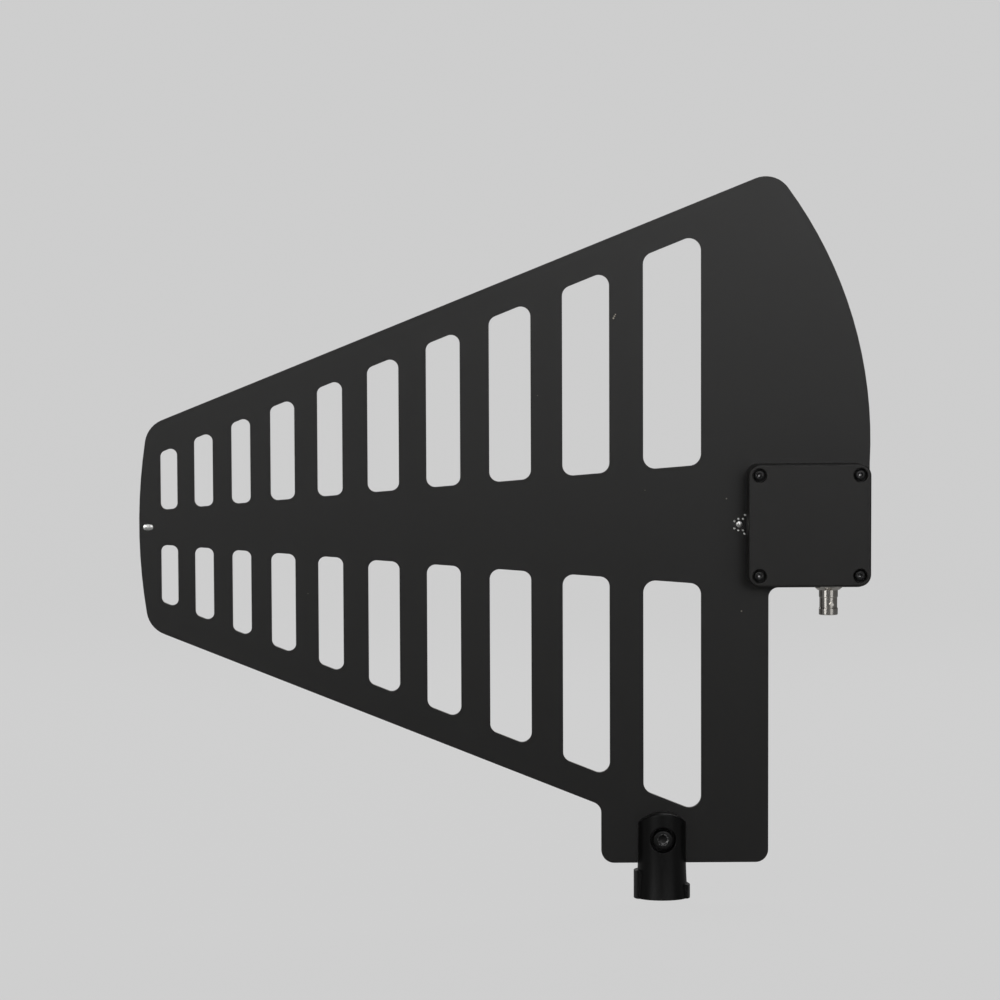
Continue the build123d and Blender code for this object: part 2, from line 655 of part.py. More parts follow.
def save(name, shape):
    """Write one sub-part, as one solid or as a group of like solids."""
    solids = shape if isinstance(shape, list) else [shape]
    whole = solids[0] if len(solids) == 1 else Compound(children=solids)
    export_step(whole, f"parts/{name}.step")


save("antenna_board", antenna_board())
save("nose_solder", solder_plug(nose_joint_outline()))
save("feed_solder", solder_plug(Pos(FEED_X, AXIS_Z) * Circle(FEED_RADIUS)))
save("ground_vias", ground_vias())
save("front_cover", front_cover())
save("rear_cover", rear_cover())
for number, screw in enumerate(cover_screws(), start=1):
    save(f"cover_screw_{number}", screw)
save("amplifier_board", amplifier_board())
save("board_pins", board_pins())
save("shield_can", shield_can())
save("amplifier_chip", amplifier_chip())
save("filter_blocks", filter_blocks())
save("regulator_chip", regulator_chip())
save("bias_coil", bias_coil())
save("capacitors", capacitors())
save("jack_shell", jack_shell())
save("jack_insulator", jack_insulator())
save("jack_contact", jack_contact())
save("signal_link", signal_link())
save("lock_washer", lock_washer())
save("panel_nut", panel_nut())
save("mount_body", mount_body())
save("thread_insert", thread_insert())
save("clamp_screw", clamp_screw())
save("clamp_washer", clamp_washer())
save("clamp_nut", clamp_nut())
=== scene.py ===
# %% [markdown]
# # Dressing a directional paddle antenna
#
# The antenna's solid parts come from CAD, in metres, with the mouth of the stand thread at the
# origin, +Z up and the front facing -Y. They already have the right shapes and sizes. This lesson
# adds what CAD leaves out: a camera where the photographer stood, a small studio, a finish for
# every material, and the few parts whose detail is too fine for a CAD solid, which are the
# soldered joints and the screws with their threads.

# %% Load the CAD model
import json
import math
import bpy
import bmesh
import numpy as np
from mathutils import Matrix, Vector


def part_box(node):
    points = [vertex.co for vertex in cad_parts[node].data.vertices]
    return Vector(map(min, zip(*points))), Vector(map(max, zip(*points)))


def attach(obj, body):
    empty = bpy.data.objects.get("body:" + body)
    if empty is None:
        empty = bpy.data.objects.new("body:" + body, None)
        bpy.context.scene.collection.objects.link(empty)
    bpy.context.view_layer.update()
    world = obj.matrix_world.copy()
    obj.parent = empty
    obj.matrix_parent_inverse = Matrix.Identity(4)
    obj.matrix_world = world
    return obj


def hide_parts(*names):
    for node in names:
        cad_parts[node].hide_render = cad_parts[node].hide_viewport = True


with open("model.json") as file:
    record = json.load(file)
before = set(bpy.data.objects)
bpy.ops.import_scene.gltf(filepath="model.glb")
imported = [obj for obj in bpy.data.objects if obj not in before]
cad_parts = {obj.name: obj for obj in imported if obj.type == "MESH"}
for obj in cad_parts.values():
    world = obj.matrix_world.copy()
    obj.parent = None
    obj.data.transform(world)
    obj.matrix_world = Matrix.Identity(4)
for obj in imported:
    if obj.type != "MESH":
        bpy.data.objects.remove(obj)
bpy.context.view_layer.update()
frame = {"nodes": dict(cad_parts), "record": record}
nodes = frame["nodes"]
MM = 0.001

# %% [markdown]
# ## Where the photographer stood
#
# A camera can be found by hand, by moving it until the picture fits. Here it was worked out from
# measured corners of the board and box instead, which leaves errors of about half a pixel. The
# lens is long and two metres away, a little left of the antenna's middle and level with its upper
# part, so the box shows its left wall and nothing leans. The picture was cropped off-centre, and
# the lens shift repeats that.

# %% Camera
PICTURE_PIXELS = 1000
FOCAL_PIXELS = 4000
SENSOR_WIDTH = 36.0
EYE = Vector((-0.1175, -2.03575, 0.306))
# Angles in radians
TURNED_RIGHT = 0.00714
LOOKING_DOWN = 0.07969
ROLLED = 0.00489

ahead = Vector((math.cos(LOOKING_DOWN) * math.sin(TURNED_RIGHT),
                math.cos(LOOKING_DOWN) * math.cos(TURNED_RIGHT),
                -math.sin(LOOKING_DOWN)))
level_right = Vector((math.cos(TURNED_RIGHT), -math.sin(TURNED_RIGHT), 0.0))
level_up = level_right.cross(ahead)
right = math.cos(ROLLED) * level_right - math.sin(ROLLED) * level_up
up = math.sin(ROLLED) * level_right + math.cos(ROLLED) * level_up

lens = bpy.data.cameras.new("camera")
lens.sensor_width = SENSOR_WIDTH
lens.lens = SENSOR_WIDTH * FOCAL_PIXELS / PICTURE_PIXELS
lens.shift_x = 0.04
lens.shift_y = 0.1196
lens.dof.use_dof = False
lens.clip_end = 30.0
camera = bpy.data.objects.new("camera", lens)
camera.matrix_world = Matrix.Translation(EYE) @ Matrix((right, up, -ahead)).transposed().to_4x4()
bpy.context.scene.collection.objects.link(camera)
bpy.context.scene.camera = camera
print("lens", round(lens.lens), "mm, looking along", [round(v, 4) for v in ahead])

# %% [markdown]
# ## Shader maths as plain arithmetic
#
# A material is a graph of nodes, and wiring each Math node by hand hides the formula. `Wire` holds
# one output socket and turns Python's operators into Math nodes, so that `1 - wear * 0.3` builds
# the graph it looks like. `Finish` owns one material, and its method `node` adds every other kind.

# %% Wire and Finish
class Wire:
    """An output socket of a material. Each operator adds one Math node to it."""

    def __init__(self, finish, socket):
        self.finish = finish
        self.socket = socket

    def math(self, operation, first, second=0.0):
        return self.finish.node("Math", {"operation": operation}, {0: first, 1: second})

    def __add__(self, other):
        return self.math("ADD", self, other)

    def __radd__(self, other):
        return self.math("ADD", other, self)

    def __sub__(self, other):
        return self.math("SUBTRACT", self, other)

    def __rsub__(self, other):
        return self.math("SUBTRACT", other, self)

    def __mul__(self, other):
        return self.math("MULTIPLY", self, other)

    def __rmul__(self, other):
        return self.math("MULTIPLY", other, self)

    def __truediv__(self, other):
        return self.math("DIVIDE", self, other)

    def __rtruediv__(self, other):
        return self.math("DIVIDE", other, self)

    def __pow__(self, other):
        return self.math("POWER", self, other)

    def __lt__(self, other):
        return self.math("LESS_THAN", self, other)

    def __gt__(self, other):
        return self.math("GREATER_THAN", self, other)

    def __abs__(self):
        return self.math("ABSOLUTE", self)

    def sine(self):
        return self.math("SINE", self)

    def step_up(self, start, end):
        """0 below start, 1 above end, and a smooth climb between them."""
        return self.finish.node("MapRange", {"interpolation_type": "SMOOTHSTEP"},
                                {"Value": self, "From Min": start, "From Max": end})


class Finish:
    """One material: a Principled shader, and the nodes that feed it."""

    def __init__(self, name, constants):
        self.material = bpy.data.materials.new(name)
        self.material.use_nodes = True
        self.tree = self.material.node_tree
        self.shader = self.tree.nodes["Principled BSDF"]
        self.feed(self.shader, constants)

    def feed(self, node, inputs):
        """Link wires to a node's inputs, and set plain values on the rest."""
        for name, value in inputs.items():
            if isinstance(value, Wire):
                self.tree.links.new(value.socket, node.inputs[name])
            else:
                node.inputs[name].default_value = value

    def node(self, kind, settings, inputs, output=0):
        """Add a node of a kind, apply its settings, feed its inputs and return one output."""
        made = self.tree.nodes.new("ShaderNode" + kind)
        for name, value in settings.items():
            setattr(made, name, value)
        self.feed(made, inputs)
        return Wire(self, made.outputs[output])

    def place(self):
        """The point on the object, in metres: its Object coordinates."""
        return self.node("TexCoord", {}, {}, "Object")

    def parts(self, vector):
        """The x, y and z of a vector, as three wires."""
        return [self.node("SeparateXYZ", {}, {0: vector}, axis) for axis in "XYZ"]

    def stretched(self, x, y, z):
        """The place multiplied by a scale for each axis, for grain that runs one way."""
        return self.node("VectorMath", {"operation": "MULTIPLY"}, {0: self.place(), 1: (x, y, z)})

    def noise(self, scale, detail=3.0, where=None, rough=0.55):
        """Soft random grain from 0 to 1, with about `scale` lumps to the metre."""
        return self.node("TexNoise", {}, {"Vector": where or self.place(), "Scale": scale,
                                          "Detail": detail, "Roughness": rough})

    def blend(self, share, first, second):
        """The first colour where share is 0 and the second where it is 1."""
        return self.node("Mix", {"data_type": "RGBA"}, {0: share, 6: first, 7: second}, 2)

    def relief(self, height, depth, soft_edge=None):
        """A surface normal from a height map of a depth in mm, over edges softened by mm."""
        inputs = {"Height": height, "Strength": 1.0, "Distance": depth * MM}
        if soft_edge:
            inputs["Normal"] = self.node("Bevel", {"samples": 4}, {"Radius": soft_edge * MM})
        return self.node("Bump", {}, inputs)

    def finish(self, **varying):
        """Feed what changes over the surface into the shader."""
        self.feed(self.shader, {name.replace("_", " ").title(): value for name, value in varying.items()})
        return self.material


def grey(level, warmth=0.0):
    """A near-neutral colour as red, green, blue and alpha, warmer above 0 and cooler below."""
    return (level * (1 + warmth), level, level * (1 - warmth), 1.0)


print("shader helpers ready")

# %% [markdown]
# ## The black board
#
# The paddle is a glass laminate under matt black solder mask. From two metres it is a very dark,
# slightly warm grey, but close up the mask follows the weave of the glass, and a router leaves the
# edges bare, where the layers of the laminate show as lighter lines. A colour picked by the
# surface's own direction tells faces from edges, so one material serves the whole board. A nick
# and a few specks sit where the photograph shows them.

# %% Solder mask and bare edges
# The weave's pitch in mm
WEAVE_PITCH = 0.56
# Nicks and specks in the mask: x, z and radius in mm, and how bright
MARKS = ((-24.4, 296.5, 0.55, 1.0), (-23.9, 297.5, 0.5, 1.0), (-23.4, 298.4, 0.4, 1.0),
         (-63.1, 257.5, 0.3, 0.25), (-8.5, 209.1, 0.28, 0.3), (33.0, 204.6, 0.45, 0.45),
         (40.7, 147.1, 0.45, 0.8), (-180.4, 157.3, 0.3, 0.3))


def from_axis(x, z, axis_x, axis_z):
    """Distance in metres from an axis that runs along Y."""
    across, along = x - axis_x, z - axis_z
    return (across * across + along * along) ** 0.5


def board_mask():
    skin = Finish("board_mask", {"Specular IOR Level": 0.45})
    x, y, z = skin.parts(skin.place())
    direction = skin.node("NewGeometry", {}, {}, "True Normal")
    facing = abs(skin.parts(direction)[1])
    edge = facing < 0.5

    turns = 2 * math.pi / (WEAVE_PITCH * MM)
    weave = (x * turns).sine() * (z * turns).sine()
    cloud = skin.noise(9.0, 4.0)
    grain = skin.noise(2400.0, 2.0)
    front = y < 0.0
    bare = 0.0
    for mark_x, mark_z, radius, strength in MARKS:
        distance = from_axis(x, z, mark_x * MM, mark_z * MM)
        bare = (1 - distance.step_up(radius * 0.6 * MM, radius * MM)) * strength * front + bare
    layers = skin.noise(1.0, 2.0, skin.stretched(260.0, 9000.0, 260.0))

    mask = skin.blend(cloud, grey(0.0115, 0.05), grey(0.0150, 0.05))
    resin, glass = (0.030, 0.026, 0.020, 1.0), (0.095, 0.083, 0.064, 1.0)
    laminate = skin.blend(layers.step_up(0.35, 0.7), resin, glass)
    colour = skin.blend(bare, skin.blend(edge, mask, laminate), (0.55, 0.50, 0.42, 1.0))
    rough = 0.34 + cloud * 0.05 + grain * 0.08 + edge * 0.2
    height = weave * 0.12 + grain + layers * edge * 2.0
    return skin.finish(base_color=colour, roughness=rough,
                       normal=skin.relief(height, 0.006, soft_edge=0.12))


finishes = {"board_mask": board_mask()}
print("board_mask:", len(finishes["board_mask"].node_tree.nodes), "nodes")

# %% [markdown]
# ## Coated box and moulded mount
#
# The box is cast metal with a fine matt coating, as dark as the board and a little warmer. Its
# rounded edges are lighter: partly wear, and partly a painted highlight along the rims. The mount
# is moulded in one shot of black plastic: smoother, so that tall lamps draw soft upright bands on
# it, with the grain of an etched mould. Finding the edges can't rely on Pointiness, which isn't
# kept by every export, so they come from how far the surface has turned away from the three main
# directions.

# %% Box and mount
def box_coating():
    skin = Finish("box_coating", {"Specular IOR Level": 0.45})
    nx, ny, nz = skin.parts(skin.node("NewGeometry", {}, {}, "Normal"))
    turned_away = (1 - abs(nx)) * (1 - abs(ny)) * (1 - abs(nz))
    grain = skin.noise(5200.0, 2.0)
    cloud = skin.noise(22.0, 4.0)
    # Lighter rounded edges: partly wear, and partly a painted highlight along the rims
    edge_wear_and_highlight = turned_away.step_up(0.02, 0.09) * skin.noise(900.0, 3.0).step_up(0.42, 0.75)
    colour = skin.blend(cloud, grey(0.0115, 0.07), grey(0.0150, 0.07))
    colour = skin.blend(edge_wear_and_highlight * 0.35, colour, grey(0.075, 0.02))
    return skin.finish(base_color=colour, roughness=0.36 + grain * 0.10,
                       normal=skin.relief(grain + cloud * 0.4, 0.010, soft_edge=0.2))


def mount_black():
    skin = Finish("mount_black", {"Specular IOR Level": 0.3})
    etched = skin.noise(3800.0, 2.0)
    flow = skin.noise(1.0, 3.0, skin.stretched(300.0, 300.0, 28.0))
    colour = skin.blend(flow, grey(0.0020, 0.01), grey(0.0036, 0.01))
    return skin.finish(base_color=colour, roughness=0.30 + etched * 0.05 + flow * 0.04,
                       normal=skin.relief(etched + flow * 0.5, 0.003, soft_edge=0.55))


finishes["box_coating"] = box_coating()
finishes["mount_black"] = mount_black()
print("box and mount finishes ready")

# %% [markdown]
# ## Metals
#
# Metals differ in colour, in how polished they are and in which way the tool marks run. One
# recipe with those as its arguments covers them all: a plate colour that drifts a little, fine
# marks along or round the part, and dull patches that are rougher.

# %% Metals
def metal(name, bright, dull, roughness, marks, depth=0.004):
    """A metal finish. `marks` gives the tool marks to the metre along x, y and z, `depth` is in mm."""
    skin = Finish(name, {"Metallic": 1.0})
    tool = skin.noise(1.0, 3.0, skin.stretched(*marks))
    patches = skin.noise(650.0, 4.0).step_up(0.5, 0.8) * 0.3
    spots = skin.noise(4200.0, 2.0).step_up(0.55, 0.75)
    colour = skin.blend(patches + spots * 0.1, (*bright, 1.0), (*dull, 1.0))
    rough = roughness + tool * 0.08 + patches * 0.25
    return skin.finish(base_color=colour, roughness=rough,
                       normal=skin.relief(tool + spots * 0.3, depth, soft_edge=0.08))


# Tool marks to the metre along x, y and z
turned_z = (900.0, 900.0, 9000.0)
turned_y = (900.0, 9000.0, 900.0)
crystals = (2600.0, 2600.0, 2600.0)
finishes["nickel"] = metal("nickel", (0.80, 0.77, 0.72), (0.46, 0.43, 0.38), 0.10, turned_z)
finishes["solder"] = metal("solder", (0.86, 0.86, 0.84), (0.60, 0.59, 0.56), 0.24, crystals, 0.012)
finishes["tin_plate"] = metal("tin_plate", (0.66, 0.67, 0.67), (0.45, 0.45, 0.44), 0.3, crystals)
finishes["zinc_steel"] = metal("zinc_steel", (0.58, 0.59, 0.60), (0.36, 0.36, 0.37), 0.34, turned_y)
finishes["gold_contact"] = metal("gold_contact", (0.83, 0.62, 0.26), (0.62, 0.43, 0.17), 0.2, turned_z)
finishes["insert_brass"] = metal("insert_brass", (0.62, 0.47, 0.22), (0.38, 0.27, 0.13), 0.3, turned_z)
print("metals:", list(finishes)[3:])

# %% [markdown]
# ## Black screws, worn bright by their key, with painted glints
#
# Black oxide rubs off where the key turns, so a broken bright ring runs round each socket: wear,
# and partly a painted highlight on the socket's rim. The bright spots on the floors of the small
# sockets are painted glints. The rings and spots are circles about the screws' own axes, which
# come from the CAD model.

# %% Black oxide
# Each screw's node, the radii in mm between which it is worn or carries a painted glint, and how bright
# Broken rings round the cover screws' sockets: wear, and partly a painted highlight
WORN_AND_GLINT_RINGS = [(f"cover_screw_{number}", 1.15, 1.65, 0.5) for number in (1, 2, 3, 4)]
# Bright spots on the cover screws' socket floors: painted glints
WORN_AND_GLINT_RINGS += [(f"cover_screw_{number}", 0.0, 0.8, 0.9) for number in (1, 2, 3, 4)]
# The clamp screw's ring: wear, and partly a painted highlight
WORN_AND_GLINT_RINGS.append(("clamp_screw", 2.35, 3.1, 0.8))


def black_oxide():
    skin = Finish("black_screw", {"Specular IOR Level": 0.4})
    x, y, z = skin.parts(skin.place())
    scuffs = skin.noise(900.0, 3.0)
    wear_and_glint = 0.0
    for node, inner, outer, strength in WORN_AND_GLINT_RINGS:
        low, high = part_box(node)
        radius = from_axis(x, z, (low.x + high.x) / 2, (low.z + high.z) / 2)
        past_inner = radius.step_up((inner - 0.15) * MM, inner * MM)
        past_outer = radius.step_up((outer - 0.3) * MM, outer * MM)
        wear_and_glint = past_inner * (1 - past_outer) * strength + wear_and_glint
    wear_and_glint = wear_and_glint * scuffs.step_up(0.40, 0.58)
    tool = skin.noise(1.0, 3.0, skin.stretched(*turned_y))
    # Worn rings and painted glints turn the black oxide into bright metal
    colour = skin.blend(wear_and_glint, skin.blend(scuffs, grey(0.006), grey(0.016)), grey(0.5))
    rough = 0.30 + tool * 0.1 - wear_and_glint * 0.05
    return skin.finish(base_color=colour, metallic=0.3 + wear_and_glint * 0.7, roughness=rough,
                       normal=skin.relief(tool, 0.004, soft_edge=0.08))


finishes["black_screw"] = black_oxide()
print("black_screw:", len(WORN_AND_GLINT_RINGS), "worn rings")

# %% [markdown]
# ## Finishes inside the box
#
# The cover hides these, but the model can be opened, so they get their own detail too: a green
# mask with copper tracks under it, waxy white plastic in the jack, moulded chips and fired
# ceramic.

# %% Small parts
def inner_board():
    skin = Finish("inner_board", {"Specular IOR Level": 0.5})
    x, y, z = skin.parts(skin.place())
    bend = skin.noise(90.0, 0.0)
    across = (x * (2 * math.pi / (2.4 * MM)) + bend * 9).sine().step_up(0.55, 0.75)
    along = (z * (2 * math.pi / (3.1 * MM)) + bend * 9).sine().step_up(0.6, 0.8)
    track = (across + along).step_up(0.4, 0.6)
    colour = skin.blend(track, (0.012, 0.060, 0.022, 1.0), (0.035, 0.130, 0.045, 1.0))
    return skin.finish(base_color=colour, roughness=0.32 + skin.noise(800.0) * 0.08,
                       normal=skin.relief(track, 0.03, soft_edge=0.08))


def plain(name, low, high, roughness, grain, depth=0.005):
    """A moulded or fired material: two close colours, and an even grain."""
    skin = Finish(name, {"Specular IOR Level": 0.45})
    fine = skin.noise(grain, 3.0)
    colour = skin.blend(skin.noise(grain / 12, 3.0), (*low, 1.0), (*high, 1.0))
    return skin.finish(base_color=colour, roughness=roughness + fine * 0.1,
                       normal=skin.relief(fine, depth, soft_edge=0.08))


finishes["inner_board"] = inner_board()
finishes["white_plastic"] = plain("white_plastic", (0.78, 0.78, 0.75), (0.86, 0.86, 0.84), 0.35, 2500.0)
finishes["chip_black"] = plain("chip_black", (0.022, 0.022, 0.023), (0.034, 0.034, 0.035), 0.5, 6000.0)
finishes["ceramic_tan"] = plain("ceramic_tan", (0.42, 0.31, 0.19), (0.55, 0.42, 0.27), 0.45, 5000.0)
print(len(finishes), "finishes")

# %% [markdown]
# ## Giving each CAD part its finish
#
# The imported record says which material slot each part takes, so one loop dresses them all.

# %% Dress the CAD parts
for entry in frame["record"]["subparts"]:
    part = nodes[entry["node"]]
    for slot in part.material_slots:
        slot.material = finishes[entry["material_slot"]]
    if not part.material_slots:
        part.data.materials.append(finishes[entry["material_slot"]])

# %% [markdown]
# ## Surfaces from grids of points
#
# Threads, knurls and solder are easiest as formulas: work out a whole grid of points at once with
# numpy, then let rows and columns of that grid become the mesh. `surface` joins a grid into quads,
# welds its poles and turns its faces outwards.

# %% Grid surfaces
SMOOTH_BELOW = math.radians(32)


def surface(name, grids, finish, *replaced):
    """A piece from closed grids: grid[i, j] meets grid[i, j + 1] round it and grid[i + 1, j] along it."""
    corners, quads, used = [], [], 0
    for grid in grids:
        rows, columns, _ = grid.shape
        row, column = np.meshgrid(np.arange(rows - 1), np.arange(columns), indexing="ij")
        after = (column + 1) % columns
        quad = np.stack([row * columns + column, row * columns + after,
                         (row + 1) * columns + after, (row + 1) * columns + column], axis=-1)
        corners.append(grid.reshape(-1, 3))
        quads.append(quad.reshape(-1, 4) + used)
        used += rows * columns
    mesh = bpy.data.meshes.new(name)
    mesh.from_pydata(np.concatenate(corners).tolist(), [], np.concatenate(quads).tolist())
    work = bmesh.new()
    work.from_mesh(mesh)
    bmesh.ops.remove_doubles(work, verts=work.verts, dist=1e-7)
    bmesh.ops.recalc_face_normals(work, faces=work.faces)
    work.to_mesh(mesh)
    work.free()
    mesh.shade_smooth()
    mesh.set_sharp_from_angle(angle=SMOOTH_BELOW)
    mesh.materials.append(finishes[finish])
    piece = bpy.data.objects.new(name, mesh)
    bpy.context.scene.collection.objects.link(piece)
    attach(piece, "root")
    if replaced:
        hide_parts(*replaced)
    print(name, len(mesh.polygons), "faces")
    return piece


def turned(rows, columns):
    """A grid about an axis: each row is (radius, height), numbers or functions of the angle."""
    angle = np.linspace(0, 2 * math.pi, columns, endpoint=False)
    radius = np.array([(r(angle) if callable(r) else r) * np.ones(columns) for r, h in rows])
    height = np.array([(h(angle) if callable(h) else h) * np.ones(columns) for r, h in rows])
    return np.stack([radius * np.cos(angle), radius * np.sin(angle), height], axis=-1)


def facing_front(grid, x, y, z):
    """Turn a grid made along +Z so that it points to the front, and place it, all in metres."""
    return np.stack([grid[..., 0] + x, y - grid[..., 2], grid[..., 1] + z], axis=-1)


print("surface helpers ready")

# %% [markdown]
# ## Screws
#
# A socket screw is a body of revolution with three things added: ridges round its head, a
# six-sided recess, and a thread. Ridges make the head's radius a wave of the angle. The recess
# is a radius that follows a hexagon. A thread is a wave of height minus angle, so that it climbs
# by one pitch in a turn. Modelled this way nothing has to be cut or joined.

# %% Socket screws
def hexagon(across):
    """Radius of a hexagon at an angle: half its width over the cosine of the angle from a flat."""
    def radius(angle):
        from_flat = (angle + math.pi / 6) % (math.pi / 3) - math.pi / 6
        return across / 2 / np.cos(from_flat)
    return radius


def ridged(radius, depth, ridges):
    """A knurled radius: the outer radius less a shallow groove between each two ridges."""
    def wave(angle):
        return radius - depth * (0.5 - 0.5 * np.cos(ridges * angle)) ** 2
    return wave


def thread_wave(height, angle, pitch):
    """0 at a thread's root and 1 at its crest: a triangle wave of height / pitch less the turn."""
    turn = (height / pitch - angle / (2 * math.pi)) % 1.0
    return np.clip(1.25 * (1 - np.abs(2 * turn - 1)) - 0.05, 0.0, 1.0)


def threaded_rod(radius, low, high, pitch, steps=6, columns=32):
    """Rows of a threaded rod with a chamfered tip at its low end, in metres."""
    depth = 0.61 * pitch
    rows = [(0.0, low)]
    for height in np.arange(low, high, pitch / steps):
        tip = radius - max(0.0, depth - (height - low))

        def thread(angle, height=height, tip=tip):
            return np.minimum(radius - depth + depth * thread_wave(height, angle, pitch), tip)
        rows.append((thread, height))
    rows += [(radius - depth, high), (0.0, high)]
    return turned(rows, columns)


def socket_screw(radius, length, pitch, head, head_height, socket, ridges):
    """A cap screw along +Z with its seat at height 0, sizes in mm: head grid and thread grid.

    radius is the thread's, head the head's and socket the width across the recess's flats.
    """
    six = hexagon(socket * MM)
    head_side = ridged(head * MM, 0.05 * head * MM, ridges)
    lower_side = ridged((head - 0.12) * MM, 0.03 * head * MM, ridges)
    top = head_height * MM
    floor = top * 0.48
    rows = [
        (0.0, 0.0),
        ((head - 0.3) * MM, 0.0),
        (lower_side, 0.15 * MM),
        (head_side, 0.35 * MM),
        (head_side, top - 0.55 * MM),
        (lower_side, top - 0.35 * MM),
        ((head - 0.45) * MM, top - 0.05 * MM),
        ((head - 0.6) * MM, top),
        (lambda angle: six(angle) + 0.14 * MM, top),
        (six, top - 0.14 * MM),
        (six, floor),
        (lambda angle: six(angle) * 0.8, floor - 0.25 * MM),
        (0.0, floor - 0.45 * MM),
    ]
    return [turned(rows, 4 * ridges), threaded_rod(radius * MM, -length * MM, 0.1 * MM, pitch * MM)]


def screw_in(name, node, sizes):
    """A finished screw in place of a CAD one, with its head's top where that one's is."""
    low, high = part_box(node)
    x, z = (low.x + high.x) / 2, (low.z + high.z) / 2
    seat_y = low.y + sizes["head_height"] * MM
    placed = [facing_front(grid, x, seat_y, z) for grid in socket_screw(**sizes)]
    surface(name, placed, "black_screw", node)


# Sizes in mm of the M3 and the M6 screws
COVER_SCREW = {"radius": 1.5, "length": 22.0, "pitch": 0.5, "head": 2.75, "head_height": 3.0,
               "socket": 2.5, "ridges": 24}
CLAMP_SCREW = {"radius": 3.0, "length": 16.0, "pitch": 1.0, "head": 5.0, "head_height": 6.0,
               "socket": 5.0, "ridges": 36}

for number in range(1, 5):
    screw_in(f"cover_bolt_{number}", f"cover_screw_{number}", COVER_SCREW)
screw_in("clamp_bolt", "clamp_screw", CLAMP_SCREW)

# %% [markdown]
# ## The stand thread
#
# The bush in the foot is a tube whose bore carries 27 threads to the inch. Its cross-section is
# carried round as one closed loop: up the outside, over the top, down the bore in small steps
# that follow the thread, and back across the foot.

# %% Threaded bush
# Sizes in mm
BUSH_RADIUS = 9.6
BORE_RADIUS = 7.58
BUSH_LENGTH = 15.0
STAND_PITCH = 25.4 / 27


def threaded_bush(outer, bore, length, pitch, steps=6, columns=72):
    """A tube on z = 0: the bore's radius grows from its crest by the thread's depth, in mm."""
    depth = 0.45 * pitch
    heights = np.arange(length, 0, -pitch / steps)

    def groove(height):
        lead_in = max(0.0, 0.6 - height)
        return lambda angle: (bore + np.maximum(depth * thread_wave(height, angle, pitch), lead_in)) * MM
    rows = [(bore * MM, length * MM), (outer * MM, length * MM), (outer * MM, 0.0), (groove(0.0), 0.0)]
    rows += [(groove(height), height * MM) for height in heights[::-1]]
    rows.append((bore * MM, length * MM))
    return turned(rows, columns)


bush = threaded_bush(BUSH_RADIUS, BORE_RADIUS, BUSH_LENGTH, STAND_PITCH)
surface("stand_thread_bush", [bush], "insert_brass", "thread_insert")

# %% [markdown]
# ## Soldered joints
#
# At the nose a plated slot joins the feed line to both faces of the board, and beside the box a
# larger joint sits in a ring of eight plated holes. Solder wets its pad and draws up into a low
# dome, so each joint is a dome on either face, a thin tinned pad under it and a neck through the
# board, all one closed skin.

# %% Solder
HALF_BOARD = 1.6 * MM


def joint(outline, rise, pad, columns=48):
    """A soldered joint through the board. outline(angle) is its radius, and all is in metres."""
    def scaled(factor, extra=0.0):
        return lambda angle: outline(angle) * factor + extra
    swell = np.sin(np.linspace(0.0, math.pi / 2, 8))
    foot = HALF_BOARD + 0.05 * MM
    dome = [(scaled(f), foot + rise * math.sqrt(max(0.0, 1 - f * f))) for f in swell]
    skirt = [
        (scaled(1.0, 0.04 * MM), HALF_BOARD + 0.035 * MM),
        (scaled(1.0, pad), HALF_BOARD + 0.03 * MM),
        (scaled(1.0, pad), HALF_BOARD),
        (scaled(0.98), HALF_BOARD),
    ]
    half = dome + skirt
    back = [(radius, -height) for radius, height in half[::-1]]
    return turned(half + back, columns)


def rounded_bar(half_length, half_width, power=3.2):
    """Radius of a bar with rounded ends: a superellipse of that power."""
    def radius(angle):
        along = np.abs(np.cos(angle) / (half_length * MM)) ** power
        across = np.abs(np.sin(angle) / (half_width * MM)) ** power
        return (along + across) ** (-1 / power)
    return radius


def dimpled_post(radius, columns=20):
    """A plated hole that solder has drawn into: a low ring round a small dimple, in metres."""
    half = [
        (0.0, HALF_BOARD - 0.05 * MM),
        (radius * 0.3, HALF_BOARD),
        (radius * 0.55, HALF_BOARD + 0.09 * MM),
        (radius * 0.85, HALF_BOARD + 0.11 * MM),
        (radius * 1.05, HALF_BOARD + 0.05 * MM),
        (radius * 1.25, HALF_BOARD + 0.03 * MM),
        (radius * 1.25, HALF_BOARD),
        (radius * 0.97, HALF_BOARD),
    ]
    return turned(half + [(r, -h) for r, h in half[::-1]], columns)


def middle(node):
    low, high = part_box(node)
    return (low + high) / 2


nose, feed = middle("nose_solder"), middle("feed_solder")
nose_grid = facing_front(joint(rounded_bar(2.25, 1.25), 0.25 * MM, 0.25 * MM), nose.x, 0.0, nose.z)
surface("nose_joint", [nose_grid], "solder", "nose_solder")
feed_grid = facing_front(joint(lambda angle: 1.4 * MM, 0.25 * MM, 0.2 * MM), feed.x, 0.0, feed.z)
surface("feed_joint", [feed_grid], "solder", "feed_solder")

# The plated holes' radius in mm, and their places from the feed joint, as in the CAD source
VIA_RADIUS = 0.45
VIA_PLACES = ((2.9, 4.7), (1.9, 2.7), (-0.5, 2.8), (-2.5, 1.6),
              (-2.5, -2.1), (-0.5, -3.1), (1.8, -3.1), (2.5, -4.8))
posts = [facing_front(dimpled_post(VIA_RADIUS * MM), feed.x + x * MM, 0.0, feed.z + z * MM)
         for x, z in VIA_PLACES]
surface("plated_holes", posts, "solder", "ground_vias")

